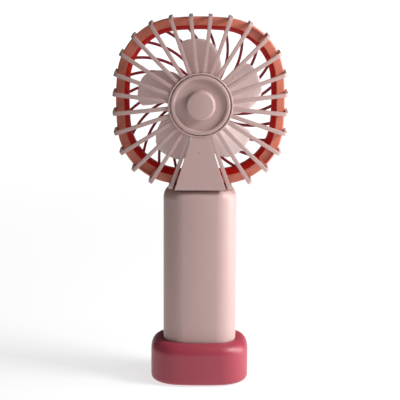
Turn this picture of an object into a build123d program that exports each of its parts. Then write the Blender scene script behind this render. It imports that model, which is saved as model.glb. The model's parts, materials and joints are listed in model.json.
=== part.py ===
from build123d import *
import os
from math import cos, radians, sin

os.makedirs("parts", exist_ok=True)

# A handheld electric fan in its table stand. Millimetres, +Z up, Z = 0 is the table.
# The fan blows towards -Y. The impeller turns about a horizontal axis at height HEAD_Z.

# ---- head ----
HEAD_Z = 159.0  # height of the impeller's axis
RIM_HALF = 47.2  # half-width of the red rim, measured on the flat of a side
FLANGE_THICK = 3.9  # the rim's flange fills Y = -FLANGE_THICK to 0
RIB_COUNT = 28
RIB_WIDTH = 2.1
CAGE_HALF = 48.6  # half-width over the rear ribs, measured as RIM_HALF
COLLAR_R = 18.0
COLLAR_Y = 16.6
SPIRAL_COUNT = 24
SPIRAL_WIDTH = 1.5
HUB_R = 14.0  # middle disc of the front grille
BLADE_COUNT = 5
BLADE_R = 35.7
BLADE_Y = 1.5  # middle of the blades along the axis
BLADE_PITCH = 30.0
BLADE_THICK = 1.3
IMPELLER_HUB_R = 14.4
SHAFT_R = 1.0
CAN_R = 11.0  # motor

# ---- handle ----
HANDLE_W = 41.2
HANDLE_D = 33.0
HANDLE_BOTTOM = 8.8
HANDLE_TOP = 111.5
HANDLE_ROUND = 6.3  # rounding of the top edge
CAP_THICK = 2.0
WALL = 2.0
NECK_BOTTOM_W = 28.4
NECK_TOP_W = 8.0
BUTTON_Z = 91.0
BUTTON_R = 6.5  # the button travels 0.6 into the handle
BOARD_FRONT = -7.2  # front face of the circuit board
BOSS_PLACES = [(-9.0, 55.0), (9.0, 55.0)]  # the two board screws, (x, z)
INDICATOR_PLACES = [(x, BUTTON_Z - 14) for x in (-6.0, -2.0, 2.0, 6.0)]
PORT_Y = BOARD_FRONT - 1.6

# ---- stand ----
STAND_W = 55.2
STAND_D = 46.8
STAND_TOP = 24.0
STAND_BOTTOM = 0.6
SOCKET_GAP = 0.45  # between the handle and the wall of the socket, all round
SOCKET_FLOOR = 8.5
FOOT_THICK = 1.0

HEAD_AXIS = Axis((0, 0, HEAD_Z), (0, 1, 0))
HEAD_SIDE = Plane(origin=(0, 0, HEAD_Z), x_dir=(0, 1, 0), z_dir=(1, 0, 0))  # local (y, radius)


def head_plane(y):
    """Plane across the impeller's axis: local x is X, local y is height, and it faces -Y."""
    return Plane(origin=(0, y, HEAD_Z), x_dir=(1, 0, 0), z_dir=(0, -1, 0))


def bowed(plane, width, depth, bow_x, bow_y, corner):
    """Closed outline, width by depth overall, with four bowed sides and rounded corners."""
    x = width / 2 - bow_x
    y = depth / 2 - bow_y
    with BuildSketch(plane) as outline:
        with BuildLine():
            ThreePointArc((x, -y), (width / 2, 0), (x, y))
            ThreePointArc((x, y), (0, depth / 2), (-x, y))
            ThreePointArc((-x, y), (-width / 2, 0), (-x, -y))
            ThreePointArc((-x, -y), (0, -depth / 2), (x, -y))
        make_face()
        fillet(outline.vertices(), corner)
    return outline.sketch


def rim_outline(plane, half):
    """The head's outline, between a circle and a square, with half-width `half`."""
    return bowed(plane, 2 * half, 2 * half, 0.115 * half, 0.115 * half, 0.73 * half)


def handle_outline(z, grow=0.0):
    """The handle's cross-section at height z, grown outward by `grow`."""
    return bowed(Plane.XY.offset(z), HANDLE_W + 2 * grow, HANDLE_D + 2 * grow, 1.7, 2.1, 12.5 + grow)


def stand_outline(z, grow=0.0):
    """The stand's cross-section at height z, grown outward by `grow`."""
    return bowed(Plane.XY.offset(z), STAND_W + 2 * grow, STAND_D + 2 * grow, 2.2, 3.0, 17.0 + grow)


def turned(*points):
    """Face on the plane HEAD_SIDE through (y, radius) points, to be revolved about HEAD_AXIS."""
    with BuildSketch(HEAD_SIDE) as profile:
        with BuildLine():
            Polyline(*points, close=True)
        make_face()
    return profile.sketch


# ================= stand =================
CAVITY_TOP = SOCKET_FLOOR - 2.5
PLATE_BOTTOM = 1.0
PLATE_THICK = 1.8
SCREW_PLACES = [(-19.0, 0.0), (19.0, 0.0), (0.0, -15.0), (0.0, 15.0)]
FOOT_PLACES = [(x, y) for x in (-15.0, 15.0) for y in (-11.5, 11.5)]

with BuildPart() as stand_shell:
    extrude(stand_outline(STAND_BOTTOM), amount=STAND_TOP - STAND_BOTTOM)
    top_edge = stand_shell.edges().group_by(Axis.Z)[-1]
    fillet(top_edge, 6.3)
    bottom_edge = stand_shell.edges().group_by(Axis.Z)[0]
    fillet(bottom_edge, 2.7)
    extrude(handle_outline(SOCKET_FLOOR, SOCKET_GAP), amount=STAND_TOP, mode=Mode.SUBTRACT)
    extrude(stand_outline(0, -3.2), amount=CAVITY_TOP, mode=Mode.SUBTRACT)
    with BuildSketch(Plane.XY.offset(CAVITY_TOP)) as screw_pilots:
        with Locations(*SCREW_PLACES):
            Circle(1.1)
    extrude(amount=1.6, mode=Mode.SUBTRACT)

with BuildPart() as stand_bottom_plate:
    extrude(stand_outline(PLATE_BOTTOM, -3.4), amount=PLATE_THICK)
    with Locations((0, 0, PLATE_BOTTOM)):
        with Locations(Plane.XY.rotated((180, 0, 0))):
            with Locations(*SCREW_PLACES):
                CounterSinkHole(radius=1.15, counter_sink_radius=2.3, depth=PLATE_THICK)

with BuildPart() as stand_weight:
    extrude(stand_outline(PLATE_BOTTOM + PLATE_THICK, -6.0), amount=CAVITY_TOP - PLATE_BOTTOM - PLATE_THICK)
    with BuildSketch(Plane.XY.offset(PLATE_BOTTOM)) as weight_holes:
        with Locations(*SCREW_PLACES):
            Circle(1.4)
    extrude(amount=CAVITY_TOP, mode=Mode.SUBTRACT)

with BuildPart() as stand_feet:
    with BuildSketch() as foot_discs:
        with Locations(*FOOT_PLACES):
            Circle(3.5)
    extrude(amount=FOOT_THICK)
    fillet(stand_feet.edges().group_by(Axis.Z)[0], 0.3)

with BuildPart() as stand_screws:
    for x, y in SCREW_PLACES:
        with BuildSketch(Plane.XZ.offset(-y)) as screw_profile:
            with BuildLine():
                Polyline(
                    (x, PLATE_BOTTOM),
                    (x + 2.2, PLATE_BOTTOM),
                    (x + 1.05, PLATE_BOTTOM + 1.15),
                    (x + 1.0, CAVITY_TOP + 1.5),
                    (x, CAVITY_TOP + 1.5),
                    close=True,
                )
            make_face()
        revolve(axis=Axis((x, y, 0), (0, 0, 1)))

# ================= handle =================
SHELL_BOTTOM = HANDLE_BOTTOM + CAP_THICK
TONGUE_W = 14.0
TONGUE_FRONT = 3.2
TONGUE_REAR = 8.0
PORT_W = 9.2
PORT_H = 3.4


def handle_blank():
    """Both halves of the handle's casing before they are split: a tube closed at the top."""
    with BuildPart() as blank:
        extrude(handle_outline(SHELL_BOTTOM), amount=HANDLE_TOP - SHELL_BOTTOM)
        fillet(blank.edges().group_by(Axis.Z)[-1], HANDLE_ROUND)
        inside = handle_outline(SHELL_BOTTOM, -WALL)
        extrude(inside, amount=HANDLE_TOP - 2 * WALL - SHELL_BOTTOM, mode=Mode.SUBTRACT)
        with BuildSketch(Plane.XY.offset(HANDLE_TOP - 20)) as tongue_slot:
            with Locations((0, (TONGUE_FRONT + TONGUE_REAR) / 2)):
                Rectangle(TONGUE_W + 0.2, TONGUE_REAR - TONGUE_FRONT + 0.2)
        extrude(amount=30, mode=Mode.SUBTRACT)
    return blank.part


with BuildPart() as handle_rear_shell:
    add(handle_blank())
    split(bisect_by=Plane.XZ, keep=Keep.BOTTOM)

with BuildPart() as handle_front_shell:
    add(handle_blank())
    split(bisect_by=Plane.XZ, keep=Keep.TOP)
    with BuildSketch(Plane.XZ) as button_hole:
        with Locations((0, BUTTON_Z)):
            Circle(BUTTON_R + 0.3)
    extrude(amount=30, mode=Mode.SUBTRACT)
    with BuildSketch(Plane.XZ) as indicator_holes:
        with Locations(*INDICATOR_PLACES):
            Circle(0.9)
    extrude(amount=30, mode=Mode.SUBTRACT)
    with BuildSketch(Plane.XZ.offset(-BOARD_FRONT)) as bosses:
        with Locations(*BOSS_PLACES):
            Circle(2.4)
    extrude(amount=8.0)
    with BuildSketch(Plane.XZ.offset(-BOARD_FRONT)) as boss_bores:
        with Locations(*BOSS_PLACES):
            Circle(0.95)
    extrude(amount=5.5, mode=Mode.SUBTRACT)

with BuildPart() as handle_bottom_cap:
    extrude(handle_outline(HANDLE_BOTTOM), amount=CAP_THICK)
    fillet(handle_bottom_cap.edges().group_by(Axis.Z)[0], 1.2)
    extrude(handle_outline(SHELL_BOTTOM, -WALL - 0.1), amount=2.0)
    extrude(handle_outline(SHELL_BOTTOM, -WALL - 1.7), amount=2.0, mode=Mode.SUBTRACT)
    with BuildSketch(Plane.XY.offset(HANDLE_BOTTOM)) as port_hole:
        with Locations((0, PORT_Y)):
            RectangleRounded(PORT_W, PORT_H, 1.65)
    extrude(amount=CAP_THICK + 3, mode=Mode.SUBTRACT)

# ================= rear grille =================
# A bowl of ribs: the ribs run out from the collar, turn the corner and end on a hoop in front of the rim.
SLOPE_THICK = 2.2  # of the ribs behind the impeller, along Y
SIDE_THICK = 1.35  # of the ribs beside the rim
HOOP_FRONT = -7.0
HOOP_REAR = -4.3
HOOP_HALF = 46.9
HOOP_THICK = 1.7
FOOT_FRONT = 0.3
FOOT_TOP = 116.0
SPINE_FRONT = 10.8
SPINE_REAR = 14.6
LEDGE_R = 15.6
NECK_TOP_Z = HEAD_Z - COLLAR_R + 1.5
NECK_BOTTOM_Z = HANDLE_TOP + 0.1
CHANNEL_W = 5.2


def bowl(half, y):
    """Solid between the cage's curved back and the plane y = HOOP_FRONT; `y` moves the back along Y."""
    with BuildPart() as solid:
        extrude(rim_outline(head_plane(20), half), amount=20 - HOOP_FRONT)
        with BuildSketch(HEAD_SIDE) as slope:
            with BuildLine():
                Line((15.8 + y, 0), (15.8 + y, COLLAR_R))
                ThreePointArc((15.8 + y, COLLAR_R), (15.2 + y, 34.0), (13.0 + y, 49.0))
                Polyline((13.0 + y, 49.0), (11.6 + y, 56.0), (HOOP_FRONT, 56.0))
                Polyline((HOOP_FRONT, 56.0), (HOOP_FRONT, 0), (15.8 + y, 0))
            make_face()
        revolve(axis=HEAD_AXIS, mode=Mode.INTERSECT)
    return solid.part


def neck_outline(y, inset=0.0):
    """The neck's outline from behind: a trapezoid, narrow at the collar, drawn `inset` smaller."""
    low = NECK_BOTTOM_Z - HEAD_Z + inset
    high = NECK_TOP_Z - HEAD_Z
    wide = NECK_BOTTOM_W / 2 - inset
    narrow = NECK_TOP_W / 2 - inset
    with BuildSketch(head_plane(y)) as outline:
        with BuildLine():
            Polyline((-wide, low), (wide, low), (narrow, high), (-narrow, high), close=True)
        make_face()
    return outline.sketch


def block(x, y, z):
    """Box between two corners, given as (low, high) pairs along each axis."""
    with BuildPart() as solid:
        with Locations(((x[0] + x[1]) / 2, (y[0] + y[1]) / 2, (z[0] + z[1]) / 2)):
            Box(x[1] - x[0], y[1] - y[0], z[1] - z[0])
    return solid.part


half_channel = CHANNEL_W / 2
lead_channel = [
    block((-half_channel, half_channel), (4.2, 7.0), (90, 114)),
    block((-half_channel, half_channel), (4.2, 14.6), (111.0, 118)),
    block((-half_channel, half_channel), (12.0, 14.6), (117, 150)),
]

with BuildPart() as rear_grille:
    add(bowl(CAGE_HALF, 0))
    add(bowl(CAGE_HALF - SIDE_THICK, -SLOPE_THICK), mode=Mode.SUBTRACT)
    extrude(rim_outline(head_plane(HOOP_REAR), CAGE_HALF), amount=HOOP_REAR - HOOP_FRONT)
    extrude(rim_outline(head_plane(HOOP_REAR), HOOP_HALF - HOOP_THICK), amount=20, mode=Mode.SUBTRACT)
    with BuildSketch(head_plane(20)) as rib_bars:
        for rib in range(RIB_COUNT):
            angle = 90 + (rib + 0.5) * 360 / RIB_COUNT
            if abs(angle - 270) > 10:
                with Locations(Location((0, 0), angle)):
                    Rectangle(60, RIB_WIDTH, align=(Align.MIN, Align.CENTER))
    extrude(amount=32, mode=Mode.INTERSECT)
    with BuildSketch(head_plane(COLLAR_Y)) as hollow:
        Circle(COLLAR_R - 0.6)
    extrude(amount=10, mode=Mode.SUBTRACT)
    revolve(
        turned(
            (11.0, LEDGE_R), (11.0, COLLAR_R), (COLLAR_Y, COLLAR_R), (COLLAR_Y, 17.0), (13.0, 17.0),
            (13.0, LEDGE_R),
        ),
        axis=HEAD_AXIS,
    )
    with BuildPart(mode=Mode.PRIVATE) as hoop:
        extrude(rim_outline(head_plane(HOOP_REAR), HOOP_HALF), amount=HOOP_REAR - HOOP_FRONT)
        extrude(rim_outline(head_plane(HOOP_REAR), HOOP_HALF - HOOP_THICK), amount=20, mode=Mode.SUBTRACT)
    add(hoop.part)
    add(block((-60, 60), (-20, 20), (90, NECK_BOTTOM_Z)), mode=Mode.SUBTRACT)
    with BuildPart(mode=Mode.PRIVATE) as neck:
        extrude(neck_outline(SPINE_REAR), amount=SPINE_REAR - SPINE_FRONT)
        add(block((-13.0, 13.0), (FOOT_FRONT, SPINE_REAR), (NECK_BOTTOM_Z, FOOT_TOP)))
        tongue_depth = (TONGUE_FRONT, TONGUE_REAR)
        add(block((-TONGUE_W / 2, TONGUE_W / 2), tongue_depth, (HANDLE_TOP - 15, NECK_BOTTOM_Z)))
        with BuildSketch(head_plane(COLLAR_Y)) as collar_space:
            Circle(COLLAR_R - 0.3)
        extrude(amount=10, mode=Mode.SUBTRACT)
    add(neck.part)
    for space in lead_channel:
        add(space, mode=Mode.SUBTRACT)

with BuildPart() as neck_plate:
    extrude(neck_outline(16.4), amount=16.4 - SPINE_REAR)
    fillet(neck_plate.faces().sort_by(Axis.Y)[-1].edges(), 0.5)
    with BuildSketch(head_plane(20)) as collar_space:
        Circle(COLLAR_R + 0.05)
    extrude(amount=10, mode=Mode.SUBTRACT)

with BuildPart() as motor_cover:
    revolve(
        turned(
            (13.1, 0), (13.1, 11.05), (9.0, 11.05), (9.0, 12.2), (13.1, 12.2), (13.1, 16.7), (16.5, 16.7),
            (17.0, 16.3),
            (17.0, 14.9), (16.7, 14.6), (15.2, 14.4), (15.2, 8.6), (15.6, 8.0), (18.4, 7.9), (19.2, 7.0),
            (19.2, 0),
        ),
        axis=HEAD_AXIS,
    )
    add(block((-half_channel, half_channel), (8.0, 13.1), (140.0, 149.5)), mode=Mode.SUBTRACT)

# ================= front grille =================
DOME_REAR = -4.4
HUB_FRONT = -15.4
POCKET_ANGLE = 3 * 360 / RIB_COUNT  # midway between two ribs near each corner
POCKET_HALF = 5.0
POCKET_DEEP = 2.4


def dome(y):
    """Solid inside of the front grille's domed face, its face moved along Y by `y`."""
    with BuildPart() as solid:
        with BuildSketch(HEAD_SIDE) as profile:
            with BuildLine():
                Line((HUB_FRONT + y, 0), (HUB_FRONT + y, HUB_R))
                ThreePointArc((HUB_FRONT + y, HUB_R), (-14.2 + y, 30.0), (-11.2 + y, 46.0))
                Polyline((-11.2 + y, 46.0), (DOME_REAR, 50.0), (DOME_REAR, 0), (HUB_FRONT + y, 0))
            make_face()
        revolve(axis=HEAD_AXIS)
    return solid.part


def polar(radius, angle):
    """Point on the head plane, the angle in degrees from straight up, turning towards -X."""
    return (-radius * sin(radians(angle)), radius * cos(radians(angle)))


with BuildPart() as front_grille:
    extrude(rim_outline(head_plane(0), RIM_HALF), amount=FLANGE_THICK)
    extrude(rim_outline(head_plane(0), 45.0), amount=11.5)
    fillet(front_grille.faces().sort_by(Axis.Y)[0].edges(), 2.0)
    extrude(rim_outline(head_plane(0), 42.7), amount=4.4, taper=33, mode=Mode.SUBTRACT)
    extrude(rim_outline(head_plane(-4.0), 39.9), amount=20, mode=Mode.SUBTRACT)
    with BuildSketch(head_plane(0)) as pockets:
        for corner in range(4):
            middle = POCKET_ANGLE + corner * 90
            with BuildLine():
                ends = [polar(60, middle + side) for side in (-POCKET_HALF, POCKET_HALF)]
                Polyline((0, 0), *ends, close=True)
            make_face()
        add(rim_outline(Plane.XY, RIM_HALF - 0.9), mode=Mode.INTERSECT)
        add(rim_outline(Plane.XY, 44.2), mode=Mode.SUBTRACT)
    extrude(amount=POCKET_DEEP, mode=Mode.SUBTRACT)
    with BuildPart(mode=Mode.PRIVATE) as spirals:
        with BuildSketch(head_plane(-5.0)) as spiral_strips:
            with BuildLine() as spiral:
                ThreePointArc(polar(47.0, 0.4), polar(29.6, 16.7), polar(12.0, 34.9))
            trace(line_width=SPIRAL_WIDTH)
        extrude(amount=15)
        add(dome(0), mode=Mode.INTERSECT)
        add(dome(2.2), mode=Mode.SUBTRACT)
        blank = spirals.part
        for strip in range(1, SPIRAL_COUNT):
            add(blank.rotate(HEAD_AXIS, strip * 360 / SPIRAL_COUNT))
        extrude(rim_outline(head_plane(0), 42.5), amount=20, mode=Mode.INTERSECT)
    add(spirals.part)
    hub_face = turned((HUB_FRONT, 0), (HUB_FRONT, HUB_R), (HUB_FRONT + 2.4, HUB_R), (HUB_FRONT + 2.4, 0))
    revolve(hub_face, axis=HEAD_AXIS)

with BuildPart() as front_cap:
    cap_profile = turned((-16.9, 0), (-16.9, 10.2), (-16.4, 11.0), (HUB_FRONT, 11.0), (HUB_FRONT, 0))
    revolve(cap_profile, axis=HEAD_AXIS)

# ================= motor and impeller =================
BUSH_R = 2.5
CAN_FRONT = -5.0
CAN_REAR = 13.0

with BuildPart() as motor_can:
    revolve(
        turned(
            (CAN_FRONT, BUSH_R + 0.05), (CAN_FRONT, 10.4), (CAN_FRONT + 0.6, CAN_R), (CAN_REAR, CAN_R),
            (CAN_REAR, 10.2), (CAN_FRONT + 1, 10.2), (CAN_FRONT + 1, BUSH_R + 0.05),
        ),
        axis=HEAD_AXIS,
    )
    add(block((-half_channel, half_channel), (11.8, 13.2), (147, 150)), mode=Mode.SUBTRACT)

with BuildPart() as motor_end_cap:
    cap_ring = turned((10.2, BUSH_R + 0.05), (10.2, 10.15), (12.0, 10.15), (12.0, BUSH_R + 0.05))
    revolve(cap_ring, axis=HEAD_AXIS)

with BuildPart() as motor_bushes:
    bore_r = SHAFT_R + 0.03
    for rear in (CAN_FRONT + 1.2, 12.2):
        bush = turned((rear - 2.2, bore_r), (rear - 2.2, BUSH_R), (rear, BUSH_R), (rear, bore_r))
        revolve(bush, axis=HEAD_AXIS)

with BuildPart() as motor_magnets:
    revolve(turned((-2.5, 8.0), (-2.5, 10.1), (9.0, 10.1), (9.0, 8.0)), axis=HEAD_AXIS)
    add(block((-20, 20), (-5, 12), (HEAD_Z - 2, HEAD_Z + 2)), mode=Mode.SUBTRACT)

with BuildPart() as armature:
    revolve(turned((-2.0, SHAFT_R), (-2.0, 7.5), (8.0, 7.5), (8.0, SHAFT_R)), axis=HEAD_AXIS)
    for slot in range(5):
        notch = block((-1.0, 1.0), (-3, 9), (HEAD_Z + 4.0, HEAD_Z + 8))
        add(notch.rotate(HEAD_AXIS, slot * 72), mode=Mode.SUBTRACT)

with BuildPart() as motor_shaft:
    revolve(turned((-10.4, 0), (-10.4, SHAFT_R), (12.6, SHAFT_R), (12.6, 0)), axis=HEAD_AXIS)

with BuildPart() as impeller:
    revolve(
        turned(
            (-11.2, SHAFT_R), (-11.2, 11.0), (-9.6, IMPELLER_HUB_R), (8.0, IMPELLER_HUB_R), (8.0, 12.6),
            (-7.6, 12.6), (-8.6, 11.0), (-8.6, 3.2), (-6.4, 2.6), (-6.4, SHAFT_R),
        ),
        axis=HEAD_AXIS,
    )
    with BuildPart(mode=Mode.PRIVATE) as blade:
        with BuildSketch(head_plane(12)) as blade_outline:
            with BuildLine():
                ThreePointArc(polar(BLADE_R - 1, -17), polar(BLADE_R, -2), polar(BLADE_R - 1, 13.5))
                ThreePointArc(polar(BLADE_R - 1, 13.5), polar(27.0, 27), polar(14.0, 38))
                Line(polar(14.0, 38), polar(14.0, -8))
                ThreePointArc(polar(14.0, -8), polar(26.0, -15), polar(BLADE_R - 1, -17))
            make_face()
        extrude(amount=24)
        with BuildPart(mode=Mode.PRIVATE) as slab:
            with Locations(Location((0, BLADE_Y, HEAD_Z + 25), (0, 0, BLADE_PITCH))):
                Box(60, BLADE_THICK, 60)
        add(slab.part, mode=Mode.INTERSECT)
        with BuildSketch(head_plane(12)) as hub_space:
            Circle(IMPELLER_HUB_R - 0.6)
        extrude(amount=24, mode=Mode.SUBTRACT)
    for number in range(BLADE_COUNT):
        add(blade.part.rotate(HEAD_AXIS, number * 360 / BLADE_COUNT))

# ================= electrics in the handle =================
BOARD_REAR = BOARD_FRONT + 1.2
BATTERY_Y = 4.5
BATTERY_R = 9.1
BATTERY_BOTTOM = 14.0
BATTERY_TOP = 79.0

with BuildPart() as circuit_board:
    add(block((-12, 12), (BOARD_FRONT, BOARD_REAR), (17.0, 105.0)))
    with BuildSketch(Plane.XZ) as screw_holes:
        with Locations(*BOSS_PLACES):
            Circle(1.2)
    extrude(amount=20, mode=Mode.SUBTRACT)

with BuildPart() as board_parts:
    add(block((-4, 4), (BOARD_FRONT - 1.2, BOARD_FRONT), (62, 68)))
    add(block((-9, -6), (BOARD_FRONT - 2.0, BOARD_FRONT), (36, 41)))
    add(block((4, 9), (BOARD_FRONT - 1.6, BOARD_FRONT), (28, 33)))
    add(block((-9, -4), (BOARD_FRONT - 1.0, BOARD_FRONT), (24, 28)))
    for x, z in INDICATOR_PLACES:
        add(block((x - 0.8, x + 0.8), (BOARD_FRONT - 0.8, BOARD_FRONT), (z - 0.8, z + 0.8)))

with BuildPart() as board_screws:
    for x, z in BOSS_PLACES:
        with BuildSketch(Plane(origin=(x, 0, z), x_dir=(0, 1, 0), z_dir=(1, 0, 0))) as screw_profile:
            with BuildLine():
                Polyline((-12, 0), (-12, 0.9), (BOARD_REAR, 0.9), (BOARD_REAR, 2.0), (-5.2, 2.0))
                Polyline((-5.2, 2.0), (-4.8, 1.2), (-4.8, 0), (-12, 0))
            make_face()
        revolve(axis=Axis((x, 0, z), (0, 1, 0)))

with BuildPart() as battery_cell:
    with BuildSketch(Plane.XY.offset(BATTERY_BOTTOM)) as cell_circle:
        with Locations((0, BATTERY_Y)):
            Circle(BATTERY_R)
    extrude(amount=BATTERY_TOP - BATTERY_BOTTOM)
    fillet(battery_cell.edges().filter_by(GeomType.CIRCLE), 0.6)

with BuildPart() as battery_contacts:
    for bottom in (BATTERY_BOTTOM - 0.4, BATTERY_TOP):
        with BuildSketch(Plane.XY.offset(bottom)) as contact:
            with Locations((0, BATTERY_Y)):
                Rectangle(8, 5)
        extrude(amount=0.4)

with BuildPart() as charge_socket:
    with BuildSketch(Plane.XY.offset(HANDLE_BOTTOM + 0.2)) as socket_outline:
        with Locations((0, PORT_Y)):
            RectangleRounded(8.9, 3.1, 1.5)
    extrude(amount=7.8)
    with BuildSketch(Plane.XY.offset(HANDLE_BOTTOM)) as socket_hollow:
        with Locations((0, PORT_Y)):
            RectangleRounded(8.3, 2.5, 1.2)
    extrude(amount=6.4, mode=Mode.SUBTRACT)
    add(block((-3.3, 3.3), (PORT_Y - 0.35, PORT_Y + 0.35), (HANDLE_BOTTOM + 1.2, HANDLE_BOTTOM + 6.6)))

# ================= power button =================
SWITCH_FRONT = -12.3
PLUNGER_R = 1.6
BUTTON_REAR = -13.1

with BuildPart() as power_button:
    button_side = Plane(origin=(0, 0, BUTTON_Z), x_dir=(0, 1, 0), z_dir=(1, 0, 0))
    with BuildSketch(button_side) as button_profile:
        with BuildLine():
            Polyline((-16.9, 0), (-17.2, 5.6), (-16.9, BUTTON_R), (-13.9, BUTTON_R), (-13.9, 7.6))
            Polyline((-13.9, 7.6), (BUTTON_REAR, 7.6), (BUTTON_REAR, 0), (-16.9, 0))
        make_face()
    revolve(axis=Axis((0, 0, BUTTON_Z), (0, 1, 0)))

with BuildPart() as switch_plunger:
    with BuildSketch(Plane.XZ.offset(-BUTTON_REAR)) as plunger_circle:
        with Locations((0, BUTTON_Z)):
            Circle(PLUNGER_R)
    extrude(amount=-2.4)

with BuildPart() as switch_body:
    add(block((-3.1, 3.1), (SWITCH_FRONT, BOARD_FRONT), (BUTTON_Z - 3.1, BUTTON_Z + 3.1)))
    with BuildSketch(Plane.XZ.offset(-SWITCH_FRONT)) as plunger_bore:
        with Locations((0, BUTTON_Z)):
            Circle(PLUNGER_R + 0.1)
    extrude(amount=-2.4, mode=Mode.SUBTRACT)

with BuildPart() as indicator_lenses:
    with BuildSketch(Plane.XZ.offset(14.2)) as lens_circles:
        with Locations(*INDICATOR_PLACES):
            Circle(0.85)
    extrude(amount=2.0)

# ================= leads inside =================
LEAD_D = 1.0


def lead(points):
    """Insulated wire along the given points, its bends rounded by tangent arcs."""
    with BuildPart() as wire:
        with BuildLine() as route:
            FilletPolyline(*points, radius=2.5)
        with BuildSketch(Plane(origin=route.line @ 0, z_dir=route.line % 0)) as section:
            Circle(LEAD_D / 2)
        sweep()
    return wire.part


with BuildPart() as motor_leads:
    for x in (-1.3, 1.3):
        inside_handle = [(x, -5.3, 82), (x, -4.6, 89), (x, 5.6, 95), (x, 5.6, 111.5)]
        add(lead(inside_handle + [(x, 12.6, 117), (x, 12.6, 148.2)]))

with BuildPart() as battery_leads:
    add(lead([(3, 3.4, 80.1), (4, 1.0, 85), (6, -4.6, 89), (6, -5.3, 96)]))
    add(lead([(-6, -5.3, 22), (-7.5, -4.7, 18), (-6, -2, 12.0), (-2, 3.4, 12.6)]))

PIECES = {
    "stand_shell": stand_shell,
    "stand_bottom_plate": stand_bottom_plate,
    "stand_weight": stand_weight,
    "stand_feet": stand_feet,
    "stand_screws": stand_screws,
    "handle_front_shell": handle_front_shell,
    "handle_rear_shell": handle_rear_shell,
    "handle_bottom_cap": handle_bottom_cap,
    "rear_grille": rear_grille,
    "neck_plate": neck_plate,
    "motor_cover": motor_cover,
    "front_grille": front_grille,
    "front_cap": front_cap,
    "motor_can": motor_can,
    "motor_end_cap": motor_end_cap,
    "motor_bushes": motor_bushes,
    "motor_magnets": motor_magnets,
    "armature": armature,
    "motor_shaft": motor_shaft,
    "impeller": impeller,
    "circuit_board": circuit_board,
    "board_parts": board_parts,
    "board_screws": board_screws,
    "battery_cell": battery_cell,
    "battery_contacts": battery_contacts,
    "charge_socket": charge_socket,
    "power_button": power_button,
    "switch_plunger": switch_plunger,
    "switch_body": switch_body,
    "indicator_lenses": indicator_lenses,
    "motor_leads": motor_leads,
    "battery_leads": battery_leads,
}
for label, piece in PIECES.items():
    piece.part.label = label
    export_step(piece.part, f"parts/{label}.step")
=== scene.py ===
import json
import math

import bmesh
import bpy
from mathutils import Euler, Matrix, Vector


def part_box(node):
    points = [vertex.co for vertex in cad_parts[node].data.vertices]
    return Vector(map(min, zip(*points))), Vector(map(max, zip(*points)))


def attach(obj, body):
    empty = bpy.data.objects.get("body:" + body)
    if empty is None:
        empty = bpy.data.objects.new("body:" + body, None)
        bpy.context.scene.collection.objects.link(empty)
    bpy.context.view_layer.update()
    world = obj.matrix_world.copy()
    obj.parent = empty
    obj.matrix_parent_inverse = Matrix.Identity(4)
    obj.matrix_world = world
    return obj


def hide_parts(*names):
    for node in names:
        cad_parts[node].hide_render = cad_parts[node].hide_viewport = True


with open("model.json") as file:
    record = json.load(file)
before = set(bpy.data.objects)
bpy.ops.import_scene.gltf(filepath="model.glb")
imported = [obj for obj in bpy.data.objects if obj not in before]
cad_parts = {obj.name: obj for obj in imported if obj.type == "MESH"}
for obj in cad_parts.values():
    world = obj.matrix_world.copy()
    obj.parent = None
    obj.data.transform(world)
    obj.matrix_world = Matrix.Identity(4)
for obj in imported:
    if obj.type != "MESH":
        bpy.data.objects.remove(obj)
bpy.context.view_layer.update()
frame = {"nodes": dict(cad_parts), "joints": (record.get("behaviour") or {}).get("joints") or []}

nodes = frame["nodes"]
MM = 0.001

# ---- The view ----
# The fan is looked at from behind and a little above, through a long lens, so that its
# sides stay almost parallel. The lens is given for the full width of the sensor.
bpy.ops.object.select_all(action="DESELECT")
camera_data = bpy.data.cameras.new("camera")
camera_data.sensor_width = 36.0
camera_data.lens = 146.1
camera = bpy.data.objects.new("camera", camera_data)
bpy.context.scene.collection.objects.link(camera)
VIEW_DOWN = math.radians(11.0)
VIEW_ROLL = math.radians(0.25)
aim = Euler((math.pi / 2 - VIEW_DOWN, 0, math.pi)).to_matrix() @ Matrix.Rotation(VIEW_ROLL, 3, "Z")
camera.rotation_euler = aim.to_euler()
camera.location = (0.0, 0.900, 0.278)
bpy.context.scene.camera = camera
bpy.context.scene.view_settings.view_transform = "Standard"

# ---- The studio ----
# A pale floor runs back out of sight. Its glow rises behind the fan and fades off to the left of
# the view. A soft box and a strip light stand close by on the right, under a weak high light.
bpy.ops.mesh.primitive_plane_add(size=60)
floor = bpy.context.object
floor.name = "floor"
floor_paint = bpy.data.materials.new("floor_paint")
floor_paint.use_nodes = True
paint_nodes = floor_paint.node_tree.nodes
paint_skin = paint_nodes["Principled BSDF"]
paint_skin.inputs["Base Color"].default_value = (0.42, 0.42, 0.42, 1)
paint_skin.inputs["Roughness"].default_value = 0.9
paint_skin.inputs["Specular IOR Level"].default_value = 0.2
paint_skin.inputs["Emission Strength"].default_value = 1.0
GLOW_BEHIND = {"From Min": -0.05, "From Max": -1.1, "To Min": 0.71, "To Max": 1.0}
FADE_TO_LEFT = {"From Min": 0.12, "From Max": 0.60, "To Min": 1.0, "To Max": 0.12}
FADE_SLANT = 0.12
floor_place = paint_nodes.new("ShaderNodeTexCoord")
floor_parts = paint_nodes.new("ShaderNodeSeparateXYZ")
glow = paint_nodes.new("ShaderNodeMapRange")
slant = paint_nodes.new("ShaderNodeMath")
slant.operation = "MULTIPLY_ADD"
slant.inputs[1].default_value = FADE_SLANT
fade = paint_nodes.new("ShaderNodeMapRange")
total = paint_nodes.new("ShaderNodeMath")
total.operation = "MULTIPLY"
for ramp, limits in ((glow, GLOW_BEHIND), (fade, FADE_TO_LEFT)):
    for key, limit in limits.items():
        ramp.inputs[key].default_value = limit
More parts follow.
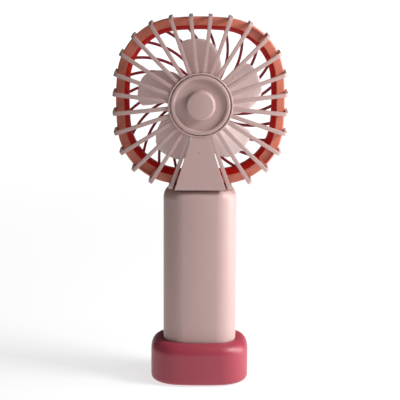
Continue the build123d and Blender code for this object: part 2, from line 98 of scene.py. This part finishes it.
for source, target in (
    (floor_place.outputs["Object"], floor_parts.inputs[0]),
    (floor_parts.outputs["Y"], glow.inputs["Value"]),
    (floor_parts.outputs["Y"], slant.inputs[0]),
    (floor_parts.outputs["X"], slant.inputs[2]),
    (slant.outputs[0], fade.inputs["Value"]),
    (glow.outputs["Result"], total.inputs[0]),
    (fade.outputs["Result"], total.inputs[1]),
    (total.outputs[0], paint_skin.inputs["Emission Color"]),
):
    floor_paint.node_tree.links.new(source, target)
floor.data.materials.append(floor_paint)

world = bpy.data.worlds.new("surround")
bpy.context.scene.world = world
world.use_nodes = True
world.node_tree.nodes["Background"].inputs["Color"].default_value = (1.0, 0.99, 0.98, 1)
world.node_tree.nodes["Background"].inputs["Strength"].default_value = 0.09


def lamp(name, kind, strength, place, aim, size):
    """Adds a light at `place` that points at `aim`; `size` is metres, or degrees for a sun."""
    light = bpy.data.lights.new(name, kind)
    light.energy = strength
    if kind == "SUN":
        light.angle = math.radians(size)
    else:
        light.size = size
    holder = bpy.data.objects.new(name, light)
    holder.location = place
    holder.rotation_euler = (Vector(aim) - Vector(place)).to_track_quat("-Z", "Y").to_euler()
    bpy.context.scene.collection.objects.link(holder)


lamp("soft_box", "AREA", 2.9, (-0.44, 0.16, 0.38), (0, 0, 0.12), 0.18)
lamp("side_strip", "AREA", 1.1, (-0.40, -0.02, 0.12), (0, 0, 0.08), 0.20)
lamp("high_light", "SUN", 0.5, (-0.5, 0.35, 1.0), (0, 0, 0), 30)


# ---- The handle's casing ----
# Two half shells of light pink plastic with a satin surface, moulded with a fine spark-eroded
# grain, snapped together along the sides and closed by a cap at the bottom.
class Wire:
    """One output of a node in a shader. Arithmetic on it adds Math nodes."""

    def __init__(self, shader, socket):
        self.shader = shader
        self.socket = socket

    def maths(self, operation, first, second):
        return self.shader.node("ShaderNodeMath", {"operation": operation}, {0: first, 1: second})

    def __add__(self, other):
        return self.maths("ADD", self, other)

    def __sub__(self, other):
        return self.maths("SUBTRACT", self, other)

    def __rsub__(self, other):
        return self.maths("SUBTRACT", other, self)

    def __mul__(self, other):
        return self.maths("MULTIPLY", self, other)

    __radd__ = __add__
    __rmul__ = __mul__


class Shader:
    """A material made of a Principled shader and the nodes that feed it."""

    def __init__(self, name):
        self.material = bpy.data.materials.new(name)
        self.material.use_nodes = True
        self.tree = self.material.node_tree
        self.skin = self.tree.nodes["Principled BSDF"]
        self.place = self.node("ShaderNodeTexCoord", {}, {}, "Object")

    def connect(self, socket, value):
        if isinstance(value, Wire):
            self.tree.links.new(value.socket, socket)
        else:
            socket.default_value = value

    def node(self, kind, settings, inputs, output=0):
        """Adds a node, gives it its settings and feeds its sockets."""
        made = self.tree.nodes.new(kind)
        for name, value in settings.items():
            setattr(made, name, value)
        for key, value in inputs.items():
            self.connect(made.inputs[key], value)
        return Wire(self, made.outputs[output])

    def noise(self, scale, detail=2.0, stretch=(1, 1, 1)):
        """Noise over the piece, `scale` cells to the metre, stretched along an axis by less than 1."""
        place = self.node("ShaderNodeMapping", {}, {"Vector": self.place, "Scale": stretch})
        return self.node("ShaderNodeTexNoise", {}, {"Vector": place, "Scale": scale, "Detail": detail})

    def blend(self, factor, first, second):
        """Mixes two colours."""
        colours = {0: factor, 6: (*first, 1), 7: (*second, 1)}
        return self.node("ShaderNodeMix", {"data_type": "RGBA"}, colours, 2)

    def put(self, **values):
        """Sets or feeds the Principled shader's sockets, given with underscores for spaces."""
        for name, value in values.items():
            self.connect(self.skin.inputs[name.replace("_", " ")], value)


def plastic(name, colour, shade, roughness, grain):
    """Moulded plastic: fine grain, slow drifts from `colour` to `shade`, faint handling marks."""
    shader = Shader(name)
    speck = shader.noise(3000.0)
    marks = shader.noise(150.0, 5.0)
    drift = shader.noise(38.0, 3.0) * 0.7 + speck * 0.3
    relief = {"Strength": grain, "Distance": 0.00006, "Height": speck + marks * 0.5}
    bump = shader.node("ShaderNodeBump", {}, relief)
    tone = shader.blend(drift - 0.12, colour, shade)
    shader.put(Base_Color=tone, Roughness=marks * 0.08 + (roughness - 0.04), Normal=bump)
    return shader


def clad(piece, shader):
    """Gives a piece one material all over."""
    piece.data.materials.clear()
    piece.data.materials.append(shader.material)


pink = plastic("pink_satin", (0.54, 0.37, 0.35), (0.48, 0.32, 0.30), 0.40, 0.25)
pink.put(Specular_IOR_Level=0.35)
for name in ("handle_front_shell", "handle_rear_shell", "handle_bottom_cap"):
    clad(nodes[name], pink)

# ---- The stand ----
# A low rose-red block with soft shoulders and a socket the handle drops into. A plate screwed on
# from below holds a steel weight in its hollow, and four soft pads keep it off the table.
rose = plastic("rose_satin", (0.38, 0.045, 0.075), (0.33, 0.038, 0.062), 0.40, 0.2)
clad(nodes["stand_shell"], rose)
dull_rose = plastic("dull_rose", (0.36, 0.065, 0.09), (0.31, 0.05, 0.075), 0.55, 0.35)
clad(nodes["stand_bottom_plate"], dull_rose)


def metal(name, colour, shade, roughness, stretch=(1, 1, 1)):
    """Bare metal with fine drawing or turning marks, long where `stretch` is small."""
    shader = Shader(name)
    marks = shader.noise(1800.0, 4.0, stretch)
    stain = shader.noise(90.0, 4.0)
    tone = shader.blend(stain, colour, shade)
    bump = shader.node("ShaderNodeBump", {}, {"Strength": 0.25, "Distance": 0.00004, "Height": marks})
    rough = stain * 0.16 + (roughness - 0.08)
    shader.put(Base_Color=tone, Metallic=1.0, Roughness=rough, Normal=bump)
    return shader


steel = metal("zinc_steel", (0.56, 0.57, 0.58), (0.44, 0.45, 0.47), 0.32)
rolled_steel = metal("rolled_steel", (0.40, 0.40, 0.41), (0.27, 0.26, 0.26), 0.45, (0.06, 1, 1))
clad(nodes["stand_weight"], rolled_steel)
clad(nodes["stand_screws"], steel)
rubber = plastic("pad_rubber", (0.045, 0.045, 0.048), (0.03, 0.03, 0.032), 0.80, 0.6)
clad(nodes["stand_feet"], rubber)

# ---- The rear cage ----
# One moulding in the same light pink: a collar round the motor, thin ribs that run out from it
# like spokes and turn forward over the edge, a hoop that ties their ends, and the neck.
head = Vector(next(joint["pos_m"] for joint in frame["joints"] if joint["name"] == "impeller_spin"))
cage_low, cage_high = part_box("rear_grille")
cage_half = (cage_high[0] - cage_low[0]) / 2
handle_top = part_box("handle_rear_shell")[1][2]
RIB_COUNT = 28
RIB_WIDTH = 2.1 * MM
RIB_THICK = 2.2 * MM
RIB_BESIDE_RIM = 1.3 * MM
RIB_ROOT_R = 16.6 * MM
RIB_CREST_R = 18.0 * MM
RIB_CREST_Y = 15.8 * MM
RIB_SWEEP_R = 173.0 * MM
RIB_CORNER_R = 2.4 * MM
HOOP_REAR = -4.3 * MM
HOOP_FRONT = -7.0 * MM
SIDE_ARC_R = 3.463
SIDE_ARC_CENTRE = 2.463
SIDE_ARC_TURN = math.radians(18.35)
CORNER_ARC_R = 0.73
CORNER_ARC_CENTRE = 0.2578


def outline(angle):
    """The head's outline, four side arcs and four corner arcs: its radius for a half-width of 1."""
    turn = abs((angle + math.pi / 4) % (math.pi / 2) - math.pi / 4)
    if turn < SIDE_ARC_TURN:
        across = SIDE_ARC_CENTRE * math.sin(turn)
        return math.sqrt(SIDE_ARC_R**2 - across**2) - SIDE_ARC_CENTRE * math.cos(turn)
    along = CORNER_ARC_CENTRE * (math.cos(turn) + math.sin(turn))
    return along + math.sqrt(CORNER_ARC_R**2 - (2 * CORNER_ARC_CENTRE**2 - along**2))


def edit(select="NOTHING"):
    """Enters edit mode on the active piece with nothing or everything selected."""
    bpy.ops.object.mode_set(mode="EDIT")
    bpy.ops.mesh.select_all(action="DESELECT" if select == "NOTHING" else "SELECT")


def pick_edges(piece, test):
    """Selects the edges whose middle passes the test."""
    mesh = bmesh.from_edit_mesh(piece.data)
    bpy.ops.mesh.select_mode(type="EDGE")
    for line in mesh.edges:
        line.select_set(test((line.verts[0].co + line.verts[1].co) / 2))
    mesh.select_flush_mode()
    bmesh.update_edit_mesh(piece.data)


def apply_all(piece):
    """Applies every modifier on a piece."""
    bpy.context.view_layer.objects.active = piece
    for modifier in list(piece.modifiers):
        bpy.ops.object.modifier_apply(modifier=modifier.name)


def boolean(piece, tool, operation):
    """Cuts a piece by a tool, or to it with INTERSECT. The tool stays in the scene."""
    cut = piece.modifiers.new("cut", "BOOLEAN")
    cut.operation = operation
    cut.object = tool
    apply_all(piece)


def round_edges(piece, width, segments=2, sharper_than=35):
    """Rounds every edge that turns by more than the given angle, and smooths the shading."""
    bevel = piece.modifiers.new("rounding", "BEVEL")
    bevel.width = width
    bevel.segments = segments
    bevel.limit_method = "ANGLE"
    bevel.angle_limit = math.radians(sharper_than)
    apply_all(piece)
    bpy.ops.object.select_all(action="DESELECT")
    piece.select_set(True)
    bpy.ops.object.shade_smooth_by_angle(angle=math.radians(40))


def keep_flats(piece):
    """Leans the shading of rounded edges on the large flat faces beside them."""
    piece.modifiers.new("flats", "WEIGHTED_NORMAL")
    apply_all(piece)


def thicken(piece, thickness):
    """Gives a sheet its thickness, half to each side."""
    sheet = piece.modifiers.new("thickness", "SOLIDIFY")
    sheet.thickness = thickness
    sheet.offset = 0
    apply_all(piece)
    edit("ALL")
    bpy.ops.mesh.normals_make_consistent(inside=False)
    bpy.ops.object.mode_set(mode="OBJECT")


def turn_about_axis(piece, angle):
    """Turns a piece's mesh about the impeller's axis, clockwise as seen from behind."""
    bpy.ops.object.select_all(action="DESELECT")
    piece.select_set(True)
    bpy.context.view_layer.objects.active = piece
    edit("ALL")
    bpy.ops.transform.rotate(value=angle, orient_axis="Y", center_override=head)
    bpy.ops.object.mode_set(mode="OBJECT")


def lathe(name, profile, steps=112):
    """Turns a closed loop of (radius, y) points, in millimetres, about the impeller's axis."""
    bpy.ops.object.select_all(action="DESELECT")
    bpy.ops.mesh.primitive_circle_add(vertices=len(profile), radius=0.01)
    piece = bpy.context.object
    piece.name = name
    for vertex, (radius, y) in zip(piece.data.vertices, profile):
        vertex.co = (0, y * MM, head.z + radius * MM)
    edit("ALL")
    bpy.ops.mesh.spin(steps=steps, angle=math.tau, center=head, axis=(0, 1, 0))
    bpy.ops.mesh.select_all(action="SELECT")
    bpy.ops.mesh.remove_doubles(threshold=0.00001)
    bpy.ops.mesh.normals_make_consistent(inside=False)
    bpy.ops.object.mode_set(mode="OBJECT")
    return piece


def square_up(piece):
    """Pushes a turned ring out to the head's outline, keeping its section."""
    for vertex in piece.data.vertices:
        across = Vector((vertex.co.x, 0, vertex.co.z - head.z))
        growth = outline(math.atan2(across.x, across.z))
        vertex.co.x = across.x * growth
        vertex.co.z = head.z + across.z * growth


def join(name, pieces):
    """Joins pieces into the first one and names it."""
    bpy.ops.object.select_all(action="DESELECT")
    for piece in pieces:
        piece.select_set(True)
    bpy.context.view_layer.objects.active = pieces[0]
    bpy.ops.object.join()
    pieces[0].name = name
    return pieces[0]


def cage_rib(angle):
    """One rib: a flat strip bent along its route by spinning its end, then given its width."""
    reach = cage_half * outline(angle)
    bpy.ops.object.select_all(action="DESELECT")
    bpy.ops.mesh.primitive_plane_add(size=0.001)
    rib = bpy.context.object
    root = [(RIB_ROOT_R, RIB_CREST_Y - RIB_THICK), (RIB_CREST_R, RIB_CREST_Y - RIB_THICK)]
    root += [(RIB_ROOT_R, RIB_CREST_Y), (RIB_CREST_R, RIB_CREST_Y)]
    for vertex, (radius, y) in zip(rib.data.vertices, root):
        vertex.co = (0, y, head.z + radius)
    sweep = (0, RIB_CREST_Y - RIB_SWEEP_R, head.z + RIB_CREST_R)
    rise = reach - RIB_CORNER_R - RIB_CREST_R
    corner = (0, sweep[1] + math.sqrt((RIB_SWEEP_R - RIB_CORNER_R) ** 2 - rise**2), sweep[2] + rise)
    bend = math.asin(rise / (RIB_SWEEP_R - RIB_CORNER_R))
    edit()
    pick_edges(rib, lambda middle: middle.z > head.z + RIB_CREST_R - 0.00001)
    bpy.ops.mesh.spin(steps=8, angle=-bend, center=sweep, axis=(1, 0, 0))
    bpy.ops.mesh.spin(steps=6, angle=bend - math.pi / 2, center=corner, axis=(1, 0, 0))
    bpy.ops.mesh.extrude_region_move(TRANSFORM_OT_translate={"value": (0, HOOP_REAR - corner[1], 0)})
    bpy.ops.mesh.extrude_region_move(TRANSFORM_OT_translate={"value": (0, HOOP_FRONT - HOOP_REAR, 0)})
    bpy.ops.object.mode_set(mode="OBJECT")
    for vertex in rib.data.vertices:
        if HOOP_REAR - 0.0001 < vertex.co.y < corner[1] + 0.001:
            vertex.co.z = max(vertex.co.z, head.z + reach - RIB_BESIDE_RIM)
    thicken(rib, RIB_WIDTH)
    round_edges(rib, 0.5 * MM, 3, 50)
    turn_about_axis(rib, angle)
    return rib


def wedge(name, low, high, depth):
    """Block between two heights; `low` and `high` are (half width, z), `depth` its (front, rear)."""
    bpy.ops.object.select_all(action="DESELECT")
    bpy.ops.mesh.primitive_cube_add(size=1)
    piece = bpy.context.object
    piece.name = name
    for vertex in piece.data.vertices:
        half, z = high if vertex.co.z > 0 else low
        vertex.co = (math.copysign(half, vertex.co.x), depth[1] if vertex.co.y > 0 else depth[0], z)
    return piece


cage = []
for number in range(RIB_COUNT):
    angle = (number + 0.5) * math.tau / RIB_COUNT
    if abs(angle - math.pi) > math.radians(10):
        cage.append(cage_rib(angle))
hoop = lathe("hoop", [(46.9, -4.3), (46.9, -7.0), (45.2, -7.0), (45.2, -4.3)], 224)
square_up(hoop)
round_edges(hoop, 0.4 * MM, 3)
cage.append(hoop)
neck_low = handle_top + 0.1 * MM
neck_high = head.z - 16.8 * MM
foot_high = head.z - 43.0 * MM
ribs = join("ribs", cage)
edit("ALL")
bpy.ops.mesh.bisect(plane_co=(0, 0, neck_low), plane_no=(0, 0, 1), use_fill=True, clear_inner=True)
bpy.ops.object.mode_set(mode="OBJECT")
collar = lathe("collar", [
    (15.6, 11.0), (18.0, 11.0), (18.0, 16.6), (17.0, 16.6), (17.0, 13.0), (15.6, 13.0)])
round_edges(collar, 0.35 * MM, 3)
spine = wedge("spine", (13.5 * MM, neck_low), (4.0 * MM, neck_high), (10.8 * MM, 14.6 * MM))
foot = wedge("foot", (13.0 * MM, neck_low), (13.0 * MM, foot_high), (0.3 * MM, 14.5 * MM))
tongue = wedge("tongue", (7.0 * MM, handle_top - 15 * MM), (7.0 * MM, neck_low), (3.2 * MM, 8.0 * MM))
for piece in (spine, foot, tongue):
    round_edges(piece, 0.3 * MM)
rear_cage = join("rear_cage", [ribs, collar, spine, foot, tongue])
clad(rear_cage, pink)
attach(rear_cage, "fan")
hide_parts("rear_grille")

# ---- The neck's cover plate ----
# A flat wedge of the same pink that hides the leads in the neck. It widens from the collar down
# to the handle, has softly rounded edges and one small round mark near the top.
plate = wedge("neck_cover", (14.2 * MM, neck_low), (4.6 * MM, neck_high), (14.6 * MM, 16.4 * MM))
bpy.ops.object.select_all(action="DESELECT")
bpy.ops.mesh.primitive_cylinder_add(
    vertices=96, radius=18.1 * MM, depth=20 * MM, location=(0, 15 * MM, head.z),
    rotation=(math.pi / 2, 0, 0))
room = bpy.context.object
bpy.ops.mesh.primitive_cylinder_add(
    vertices=24, radius=0.55 * MM, depth=0.5 * MM, location=(1.2 * MM, 16.45 * MM, head.z - 26.5 * MM),
    rotation=(math.pi / 2, 0, 0))
mark = bpy.context.object
boolean(plate, room, "DIFFERENCE")
round_edges(plate, 0.4 * MM, 3, 50)
boolean(plate, mark, "DIFFERENCE")
for tool in (room, mark):
    bpy.data.objects.remove(tool)
keep_flats(plate)
clad(plate, pink)
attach(plate, "fan")
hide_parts("neck_plate")

# ---- The motor's cover ----
# A round pink cap pressed into the collar, with a raised lip, a shallow dish inside it and a plain
# round boss standing up in the middle.
motor_cover = lathe("motor_cover_cap", [
    (0.0, 13.1), (11.05, 13.1), (11.05, 9.0), (12.2, 9.0), (12.2, 13.1), (16.6, 13.1), (16.6, 16.3),
    (16.1, 16.9), (14.8, 16.9), (14.4, 16.6), (14.2, 15.6), (13.9, 15.3), (8.5, 15.3), (8.1, 15.7),
    (7.9, 18.4), (7.2, 19.1), (0.0, 19.2)])
round_edges(motor_cover, 0.3 * MM, 3, 25)
clad(motor_cover, pink)
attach(motor_cover, "fan")
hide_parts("motor_cover")

# ---- The front grille ----
# A deep red rim with a flange that the cage clips over, and fine ribs that curl in to a flat hub.
# In each corner the flange has a pocket for a snap hook. The flange's rear face, its outer edge
# and its pockets are painted a lighter orange-red: painted light where they face the lamps. The
# ribs and the hub are painted a darker purplish red: painted shade, as they lie in the cage's shadow.
rim = lathe("rim", [
    (47.2, -3.9), (47.2, -0.6), (46.7, -0.1), (43.3, -0.1), (42.9, 0.0), (42.5, -0.3), (39.9, -4.3),
    (39.9, -11.0), (40.6, -11.5), (43.2, -11.5), (44.6, -10.8), (45.0, -9.6), (45.0, -3.9)], 224)
square_up(rim)
POCKET_ANGLE = 3 * math.tau / RIB_COUNT
POCKET_SIZE = (8.6 * MM, 4.0 * MM, 14.0 * MM)
POCKET_Y = 0.6 * MM
POCKET_RADIUS = 48.0 * MM
cutters = []
for corner in range(4):
    bpy.ops.object.select_all(action="DESELECT")
    bpy.ops.mesh.primitive_cube_add(size=1)
    cutter = bpy.context.object
    edit("ALL")
    bpy.ops.transform.resize(value=POCKET_SIZE)
    bpy.ops.transform.translate(value=(0, POCKET_Y, head.z + POCKET_RADIUS))
    bpy.ops.object.mode_set(mode="OBJECT")
    turn_about_axis(cutter, POCKET_ANGLE + corner * math.pi / 2)
    cutters.append(cutter)
cutter = join("pocket_cutter", cutters)
fence = lathe("fence", [(30.0, -6.0), (46.3, -6.0), (46.3, 6.0), (30.0, 6.0)], 224)
square_up(fence)
boolean(cutter, fence, "INTERSECT")
boolean(rim, cutter, "DIFFERENCE")
for tool in (cutter, fence):
    bpy.data.objects.remove(tool)
round_edges(rim, 0.2 * MM, 2, 30)

deep_red = plastic("deep_red", (0.56, 0.008, 0.005), (0.48, 0.007, 0.004), 0.42, 0.2)
deep_red.put(Specular_IOR_Level=0.2)
# A lighter orange-red copy of the rim's red: painted light for the faces turned to the lamps.
flange_painted_light = plastic("painted_light_flange", (0.66, 0.20, 0.13), (0.56, 0.145, 0.095), 0.42, 0.3)
# A darker purplish copy of the rim's red: painted shade for the ribs and hub in the cage's shadow.
rib_painted_shade = plastic("painted_shade_ribs", (0.38, 0.024, 0.045), (0.30, 0.018, 0.035), 0.35, 0.2)

SPIRAL_COUNT = 24
SPIRAL_WIDTH = 1.5 * MM
SPIRAL_DEPTH = 2.2 * MM
SPIRAL_OUTER_R = 41.0 * MM
SPIRAL_INNER_R = 13.2 * MM
SPIRAL_START_R = 44.0 * MM
HUB_R = 14.0 * MM
HUB_FRONT = -15.4 * MM
DOME_CURVE = 4.1
SPIRAL_TURN = math.radians(0.97) / MM
SPIRAL_PHASE = math.radians(1.8)


def spiral_rib(number):
    """One curled rib: a narrow strip from inside the rim to the hub, following the grille's dome."""
    at_rim = number * math.tau / SPIRAL_COUNT + SPIRAL_PHASE
    outer = SPIRAL_OUTER_R * outline(at_rim)
    bpy.ops.object.select_all(action="DESELECT")
    bpy.ops.mesh.primitive_grid_add(x_subdivisions=14, y_subdivisions=1, size=2)
    rib = bpy.context.object
    for vertex in rib.data.vertices:
        radius = SPIRAL_INNER_R + (outer - SPIRAL_INNER_R) * (vertex.co.x + 1) / 2
        angle = at_rim + (SPIRAL_START_R - radius) * SPIRAL_TURN
        depth = SPIRAL_DEPTH * (vertex.co.y + 1) / 2
        dome = HUB_FRONT + DOME_CURVE * (radius - HUB_R) ** 2
        vertex.co = (-radius * math.sin(angle), dome + depth, head.z + radius * math.cos(angle))
    thicken(rib, SPIRAL_WIDTH)
    round_edges(rib, 0.35 * MM, 2, 50)
    return rib


spirals = join("spiral_ribs", [spiral_rib(number) for number in range(SPIRAL_COUNT)])
hub = lathe("grille_hub", [
    (0.0, -15.4), (14.0, -15.4), (14.0, -13.0), (12.4, -12.6), (12.0, -13.6), (0.0, -13.6)])
round_edges(hub, 0.4 * MM, 3)
# The ribs and the hub take the darker copy of the red: painted shade.
clad(spirals, rib_painted_shade)
clad(hub, rib_painted_shade)
clad(rim, deep_red)
rim.data.materials.append(flange_painted_light.material)
# The flange's rear face, its outer edge and the pockets in it are painted the lighter orange-red:
# painted light on the red where the faces turn to the lamps.
for face in rim.data.polygons:
    across = Vector((face.center.x, 0, face.center.z - head.z))
    local_r = across.length / outline(math.atan2(across.x, across.z))
    on_flange = local_r > 42.6 * MM and face.center.y > -1.0 * MM and face.normal.y > 0.5
    in_pocket = local_r > 43.4 * MM and face.center.y > -1.6 * MM
    on_edge = local_r > 46.5 * MM and face.center.y > -3.95 * MM
    if on_flange or in_pocket or on_edge:
        face.material_index = 1
front_grille = join("front_grille_moulding", [rim, spirals, hub])
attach(front_grille, "fan")
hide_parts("front_grille")

# ---- The front cap ----
# A plain round pink disc glued on the middle of the front grille, a little lighter and smoother
# than the casing.
cap_pink = plastic("cap_pink", (0.57, 0.39, 0.365), (0.51, 0.34, 0.32), 0.28, 0.15)
clad(nodes["front_cap"], cap_pink)

# ---- The impeller ----
# Five broad blades round a deep cup, moulded in one piece of mauve plastic and pressed on the
# shaft. The blades are thin enough to let a little light through, and the cup hides the motor.
mauve = plastic("mauve_blades", (0.89, 0.655, 0.625), (0.84, 0.59, 0.565), 0.38, 0.2)
mauve.put(Subsurface_Weight=0.8, Subsurface_Radius=(0.010, 0.008, 0.008), Subsurface_Scale=1.0)
BLADE_ROOT_R = 13.8 * MM
BLADE_TIP_R = 35.4 * MM
BLADE_MIDDLE = 1.5 * MM
BLADE_THICK = 1.3 * MM
BLADE_TURN = math.radians(-3.0)
BLADE_COUNT = 5
BLADE_CAMBER = 0.9 * MM
ROOT_PITCH = 40
TIP_PITCH = 26
TRAILING_ROOT = -10.0
TRAILING_SWELL = 9.5
LEADING_TIP = 14.5
LEADING_SWEEP = 26.0


def blade(number):
    """One blade: a grid bent to its outline, pitched more at the root, and given its thickness.

    `along` runs from root to tip and `side` from the trailing edge to the leading edge. The two
    edges are angles in degrees about the axis."""
    bpy.ops.object.select_all(action="DESELECT")
    bpy.ops.mesh.primitive_grid_add(x_subdivisions=14, y_subdivisions=14, size=2)
    piece = bpy.context.object
    for vertex in piece.data.vertices:
        along = (vertex.co.x + 1) / 2
        side = vertex.co.y
        tip = BLADE_TIP_R - 2.6 * MM * abs(side) ** 5 - 0.4 * MM * side**2
        radius = BLADE_ROOT_R + (tip - BLADE_ROOT_R) * along
        trailing = TRAILING_ROOT - TRAILING_SWELL * math.sin(math.pi / 2 * min(1.0, along * 1.2))
        leading = LEADING_TIP + LEADING_SWEEP * (1 - along**1.9)
        angle = math.radians(trailing + (leading - trailing) * (side + 1) / 2)
        pitch = math.radians(ROOT_PITCH - (ROOT_PITCH - TIP_PITCH) * along)
        offset = radius * (angle - math.radians(2.0))
        camber = BLADE_CAMBER * (1 - side**2)
        y = offset * math.tan(pitch) * 0.85 + camber + BLADE_MIDDLE
        angle += number * math.tau / BLADE_COUNT + BLADE_TURN
        vertex.co = (-radius * math.sin(angle), y, head.z + radius * math.cos(angle))
    thicken(piece, BLADE_THICK)
    round_edges(piece, 0.45 * MM, 3, 50)
    return piece


cup = lathe("impeller_cup", [
    (1.0, -11.2), (11.0, -11.2), (14.4, -9.4), (14.4, 8.0), (12.6, 8.0), (12.6, -7.6), (11.0, -8.6),
    (3.2, -8.6), (2.6, -6.4), (1.0, -6.4)])
round_edges(cup, 0.5 * MM, 3)
impeller = join("impeller_moulding", [cup] + [blade(number) for number in range(BLADE_COUNT)])
clad(impeller, mauve)
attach(impeller, "impeller_body")
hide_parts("impeller")

# ---- The motor ----
# A small brushed motor: a drawn steel can with two magnets inside it, a black end cap, bronze
# bushes, a laminated armature with its windings, and a ground shaft that carries the impeller.
drawn_steel = metal("drawn_steel", (0.60, 0.60, 0.61), (0.50, 0.50, 0.52), 0.28, (1, 0.05, 1))
clad(nodes["motor_can"], drawn_steel)
ground_steel = metal("ground_steel", (0.66, 0.66, 0.67), (0.58, 0.58, 0.60), 0.18, (1, 0.2, 1))
clad(nodes["motor_shaft"], ground_steel)
bronze = metal("sintered_bronze", (0.56, 0.36, 0.16), (0.44, 0.27, 0.11), 0.42)
clad(nodes["motor_bushes"], bronze)
black_nylon = plastic("black_nylon", (0.035, 0.035, 0.037), (0.025, 0.025, 0.027), 0.5, 0.3)
clad(nodes["motor_end_cap"], black_nylon)
ferrite = plastic("ferrite", (0.075, 0.07, 0.068), (0.045, 0.042, 0.04), 0.65, 0.7)
clad(nodes["motor_magnets"], ferrite)
windings = Shader("copper_windings")
turns = windings.node(
    "ShaderNodeTexWave", {"bands_direction": "Y"},
    {"Vector": windings.place, "Scale": 900.0, "Distortion": 1.5, "Detail": 2.0}, "Fac")
wire_bump = windings.node("ShaderNodeBump", {}, {"Strength": 0.6, "Distance": 0.0002, "Height": turns})
wire_tone = windings.blend(turns, (0.42, 0.15, 0.05), (0.62, 0.27, 0.10))
windings.put(Base_Color=wire_tone, Metallic=0.85, Roughness=turns * 0.2 + 0.25, Normal=wire_bump)
clad(nodes["armature"], windings)

# ---- The power button ----
# A round button of the same pink on the front of the handle, with a grey switch behind it that
# clicks when the button is pushed in.
button_pink = plastic("button_pink", (0.58, 0.40, 0.375), (0.52, 0.35, 0.33), 0.33, 0.2)
clad(nodes["power_button"], button_pink)
clad(nodes["switch_plunger"], black_nylon)
clad(nodes["switch_body"], steel)

# ---- The indicator lenses ----
# Four small milky dots in a row under the button that pipe light from the lamps on the board.
milky = Shader("milky_lens")
haze = milky.noise(700.0, 3.0)
milky.put(Base_Color=milky.blend(haze, (0.86, 0.87, 0.85), (0.72, 0.75, 0.74)), Roughness=haze * 0.2 + 0.18)
milky.put(Transmission_Weight=0.35, IOR=1.45)
clad(nodes["indicator_lenses"], milky)

# ---- The circuit board ----
# A green fibreglass board with a faint weave, copper tracks under the lacquer, black chips and
# two screws that hold it to the posts of the front shell.
board = Shader("green_board")
threads = {"Color1": (1, 1, 1, 1), "Color2": (0.8, 0.8, 0.8, 1), "Mortar Size": 0.03}
weave = board.node("ShaderNodeTexBrick", {}, {"Vector": board.place, "Scale": 420.0, **threads}, "Fac")
cells = {"Vector": board.place, "Scale": 260.0}
track = board.node("ShaderNodeTexVoronoi", {"distance": "MANHATTAN"}, cells)
lacquer = board.blend(track * 1.4, (0.012, 0.13, 0.05), (0.03, 0.24, 0.09))
board_relief = {"Strength": 0.2, "Distance": 0.00005, "Height": weave + track}
board_bump = board.node("ShaderNodeBump", {}, board_relief)
board.put(Base_Color=lacquer, Roughness=track * 0.15 + 0.3, Normal=board_bump, Coat_Weight=0.4)
clad(nodes["circuit_board"], board)
chip = plastic("chip_black", (0.03, 0.03, 0.032), (0.018, 0.018, 0.02), 0.55, 0.5)
clad(nodes["board_parts"], chip)
clad(nodes["board_screws"], steel)

# ---- The battery ----
# One 18 mm lithium cell in a shrunk blue sleeve, with a nickel strip welded to each end. It fills
# most of the handle, and its sleeve has fine creases where it was shrunk over the can.
sleeve = Shader("cell_sleeve")
creases = sleeve.noise(240.0, 5.0, (1, 1, 0.3))
sleeve_bump = sleeve.node("ShaderNodeBump", {}, {"Strength": 0.3, "Distance": 0.0001, "Height": creases})
sleeve_tone = sleeve.blend(creases, (0.03, 0.15, 0.36), (0.05, 0.22, 0.46))
sleeve.put(Base_Color=sleeve_tone, Roughness=creases * 0.2 + 0.22, Normal=sleeve_bump, Coat_Weight=0.3)
clad(nodes["battery_cell"], sleeve)
nickel = metal("nickel_strip", (0.62, 0.60, 0.55), (0.52, 0.50, 0.46), 0.25, (0.1, 1, 1))
clad(nodes["battery_contacts"], nickel)

# ---- The charging socket ----
# A small folded steel shell with its contact tongue, set in the bottom of the handle. Its bright
# tin plating is drawn along its length.
tinned = metal("tinned_shell", (0.64, 0.64, 0.63), (0.54, 0.54, 0.54), 0.22, (1, 1, 0.2))
clad(nodes["charge_socket"], tinned)

# ---- The leads ----
# Thin wires in smooth red insulation inside the handle: two go up the neck to the motor, and two
# go from the cell to the board.
insulation = Shader("red_insulation")
smear = insulation.noise(500.0, 3.0)
insulation_tone = insulation.blend(smear, (0.50, 0.02, 0.02), (0.38, 0.015, 0.015))
skin_relief = {"Strength": 0.15, "Distance": 0.00005, "Height": smear}
insulation_bump = insulation.node("ShaderNodeBump", {}, skin_relief)
insulation.put(Base_Color=insulation_tone, Roughness=smear * 0.2 + 0.35, Normal=insulation_bump)
for name in ("motor_leads", "battery_leads"):
    clad(nodes[name], insulation)
